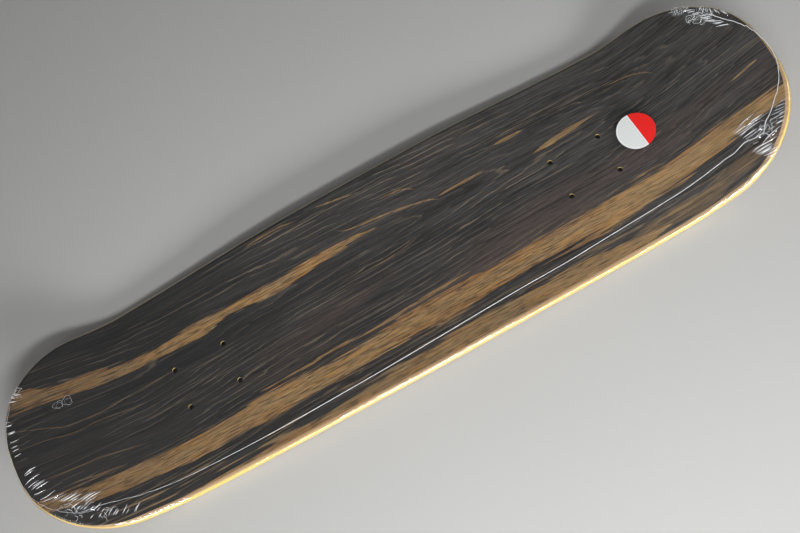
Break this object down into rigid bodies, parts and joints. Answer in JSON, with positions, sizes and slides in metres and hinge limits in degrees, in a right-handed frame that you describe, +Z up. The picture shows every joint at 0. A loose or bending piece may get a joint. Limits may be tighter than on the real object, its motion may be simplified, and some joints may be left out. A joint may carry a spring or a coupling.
{
  "type": "skateboard deck",
  "caption": "Bare laminated maple skateboard deck with concave, kicked nose and tail and truck bolt holes, in clear shrink film with a blank round label.",
  "frame": {"origin": "on the supporting surface under the middle of the wrapped deck's box", "axes": "+X to the nose, +Y to the left rail seen from above with the nose ahead, +Z up out of the top face"},
  "size_m": [0.8052, 0.2136, 0.0654],
  "materials": {
    "stained_face": "charcoal stain over open maple grain, with streaks left tan",
    "maple_core": "raw rotary-cut maple, grain along the deck, sanded edge",
    "maple_cross": "raw rotary-cut maple, grain across the deck, end grain at the rails",
    "maple_face": "clear-sealed maple",
    "clear_film": "clear shrink film, glossy, with a heat seal and puckered corners",
    "label_stock": "blank coated label, pale with a red segment"
  },
  "bodies": {
    "root": {"top_face_veneer": "stained_face", "bottom_face_veneer": "maple_face", "upper_cross_ply": "maple_cross", "lower_cross_ply": "maple_cross", "upper_core_ply": "maple_core", "centre_core_ply": "maple_core", "lower_core_ply": "maple_core", "shrink_film": "clear_film", "round_label": "label_stock"}
  },
  "joints": []
}
